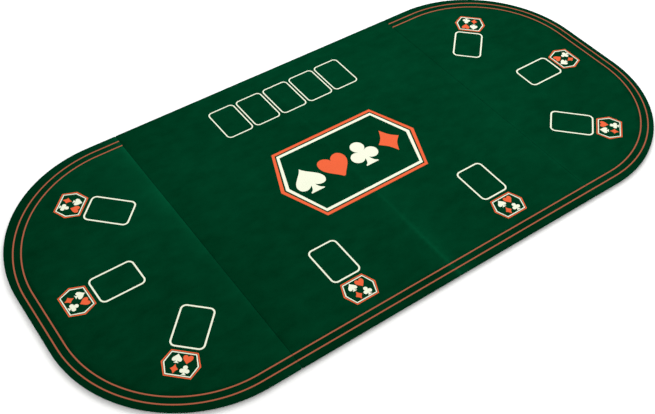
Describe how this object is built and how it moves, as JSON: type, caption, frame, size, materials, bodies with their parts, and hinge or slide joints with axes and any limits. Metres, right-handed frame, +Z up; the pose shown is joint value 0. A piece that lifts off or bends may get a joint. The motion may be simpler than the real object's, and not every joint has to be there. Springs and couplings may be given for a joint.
{
  "type": "folding poker table top",
  "caption": "Folding card table top: a long felt-covered board with round ends that folds at three seams, on rubber pads.",
  "frame": {"origin": "centre of the flat surface that the rubber pads stand on, under the middle of the centre seam", "axes": "+X along the table's length to the right-hand end, +Y across it to the far side where the row of five card boxes is, +Z up"},
  "size_m": [1.8, 0.9, 0.0133],
  "materials": {
    "felt": "dark green printed felt, short nap",
    "board": "bare medium-density fibreboard, sawn edges",
    "lining": "black leatherette sheet, fine grain",
    "pad": "black moulded rubber",
    "hinge_leaf": "zinc-plated pressed steel",
    "hinge_pin": "drawn steel wire",
    "screw": "zinc-plated countersunk screw"
  },
  "bodies": {
    "centre_left": {"centre_left_board": "board", "centre_left_felt": "felt", "centre_left_lining": "lining", "centre_left_pad_1": "pad", "centre_left_pad_2": "pad", "centre_left_pad_3": "pad", "centre_left_pad_4": "pad", "left_hinge_far_middle_leaf": "hinge_leaf", "left_hinge_far_middle_screw_1": "screw", "left_hinge_far_middle_screw_2": "screw", "left_hinge_far_pin": "hinge_pin", "left_hinge_near_middle_leaf": "hinge_leaf", "left_hinge_near_middle_screw_1": "screw", "left_hinge_near_middle_screw_2": "screw", "left_hinge_near_pin": "hinge_pin"},
    "end_left": {"end_left_board": "board", "end_left_felt": "felt", "end_left_lining": "lining", "end_left_pad_1": "pad", "end_left_pad_2": "pad", "end_left_pad_3": "pad", "end_left_pad_4": "pad", "left_hinge_far_end_leaf": "hinge_leaf", "left_hinge_far_end_screw_1": "screw", "left_hinge_far_end_screw_2": "screw", "left_hinge_near_end_leaf": "hinge_leaf", "left_hinge_near_end_screw_1": "screw", "left_hinge_near_end_screw_2": "screw"},
    "centre_right": {"centre_right_board": "board", "centre_right_felt": "felt", "centre_right_lining": "lining", "centre_right_pad_1": "pad", "centre_right_pad_2": "pad", "centre_right_pad_3": "pad", "centre_right_pad_4": "pad", "right_hinge_far_middle_leaf": "hinge_leaf", "right_hinge_far_middle_screw_1": "screw", "right_hinge_far_middle_screw_2": "screw", "right_hinge_far_pin": "hinge_pin", "right_hinge_near_middle_leaf": "hinge_leaf", "right_hinge_near_middle_screw_1": "screw", "right_hinge_near_middle_screw_2": "screw", "right_hinge_near_pin": "hinge_pin"},
    "end_right": {"end_right_board": "board", "end_right_felt": "felt", "end_right_lining": "lining", "end_right_pad_1": "pad", "end_right_pad_2": "pad", "end_right_pad_3": "pad", "end_right_pad_4": "pad", "right_hinge_far_end_leaf": "hinge_leaf", "right_hinge_far_end_screw_1": "screw", "right_hinge_far_end_screw_2": "screw", "right_hinge_near_end_leaf": "hinge_leaf", "right_hinge_near_end_screw_1": "screw", "right_hinge_near_end_screw_2": "screw"}
  },
  "joints": [
    {"name": "centre_fold", "type": "hinge", "parent": "centre_left", "child": "centre_right", "pos_m": [0, 0, 0.01355], "axis": [0, -1, 0], "range_deg": [0, 180]},
    {"name": "left_end_fold", "type": "hinge", "parent": "centre_left", "child": "end_left", "pos_m": [-0.461, 0, 0.0024], "axis": [0, -1, 0], "range_deg": [0, 179.5]},
    {"name": "right_end_fold", "type": "hinge", "parent": "centre_right", "child": "end_right", "pos_m": [0.461, 0, 0.0024], "axis": [0, 1, 0], "range_deg": [0, 179.5]}
  ]
}
